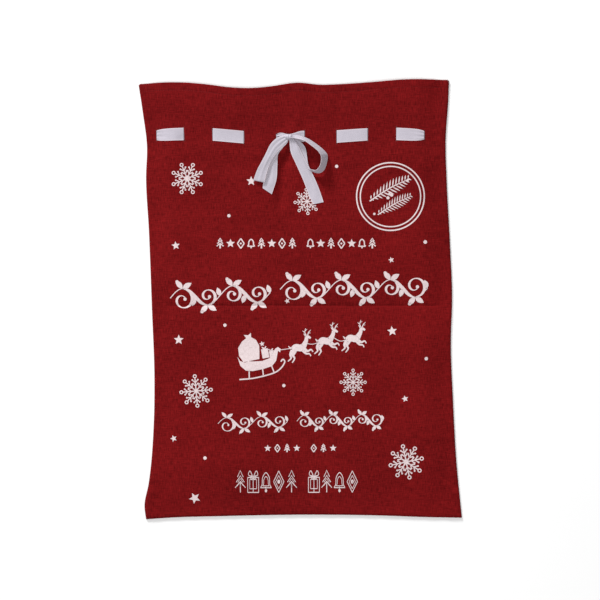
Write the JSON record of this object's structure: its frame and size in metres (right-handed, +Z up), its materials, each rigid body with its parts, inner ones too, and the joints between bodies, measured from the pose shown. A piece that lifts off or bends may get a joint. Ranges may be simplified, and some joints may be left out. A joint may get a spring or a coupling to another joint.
{
  "type": "fabric gift sack",
  "caption": "Red linen-look fabric gift sack lying flat, with a white ribbon drawn through slits at its neck and tied in a bow.",
  "frame": {"origin": "on the ground under the middle of the sack's bounding box, as it lies flat on its back panel", "axes": "+X across the sack to its right side, +Y from the bottom seam to the mouth, +Z up, out of the front panel"},
  "size_m": [0.523, 0.708, 0.0261],
  "materials": {
    "red_cloth": "matte slub weave",
    "red_thread": "matte spun thread",
    "white_ribbon": "soft sheen plain weave",
    "printed_ink": "matte printed film"
  },
  "bodies": {
    "root": {"lower_back_panel": "red_cloth", "lower_front_panel": "red_cloth", "lower_left_seam": "red_cloth", "lower_right_seam": "red_cloth", "bottom_seam": "red_cloth", "lower_left_thread": "red_thread", "lower_right_thread": "red_thread", "bottom_thread": "red_thread", "lower_left_overlock": "red_thread", "lower_right_overlock": "red_thread", "bottom_overlock": "red_thread"},
    "upper_half": {"upper_back_panel": "red_cloth", "back_hem": "red_cloth", "back_hem_thread": "red_thread", "upper_left_seam": "red_cloth", "upper_right_seam": "red_cloth", "upper_left_thread": "red_thread", "upper_right_thread": "red_thread", "upper_left_overlock": "red_thread", "upper_right_overlock": "red_thread", "back_slit_stitching": "red_thread", "back_ribbon": "white_ribbon"},
    "mouth_front": {"upper_front_panel": "red_cloth", "front_hem": "red_cloth", "front_hem_thread": "red_thread", "front_slit_stitching": "red_thread", "front_ribbon_left": "white_ribbon", "front_ribbon_right": "white_ribbon", "bow_knot": "white_ribbon"},
    "left_tail": {"left_tail": "white_ribbon"},
    "left_loop": {"left_loop": "white_ribbon"},
    "right_loop": {"right_loop": "white_ribbon"},
    "right_tail": {"right_tail": "white_ribbon"}
  },
  "joints": [
    {"name": "storage_fold", "type": "hinge", "parent": "root", "child": "upper_half", "pos_m": [0, -0.009, 0.0104], "axis": [1, 0, 0], "range_deg": [0, 140]},
    {"name": "mouth_open", "type": "hinge", "parent": "upper_half", "child": "mouth_front", "pos_m": [0, -0.009, 0.0104], "axis": [1, 0, 0], "range_deg": [0, 10]},
    {"name": "left_tail_lift", "type": "hinge", "parent": "mouth_front", "child": "left_tail", "pos_m": [-0.01857, 0.262, 0.01475], "axis": [-1, 0, 0], "range_deg": [0, 100]},
    {"name": "left_loop_lift", "type": "hinge", "parent": "left_tail", "child": "left_loop", "pos_m": [-0.01857, 0.262, 0.01475], "axis": [-1, 0, 0], "range_deg": [0, 50]},
    {"name": "right_loop_lift", "type": "hinge", "parent": "mouth_front", "child": "right_loop", "pos_m": [-0.01857, 0.262, 0.01475], "axis": [-1, 0, 0], "range_deg": [0, 100]},
    {"name": "right_tail_lift", "type": "hinge", "parent": "right_loop", "child": "right_tail", "pos_m": [-0.01857, 0.262, 0.01475], "axis": [-1, 0, 0], "range_deg": [0, 50]}
  ]
}
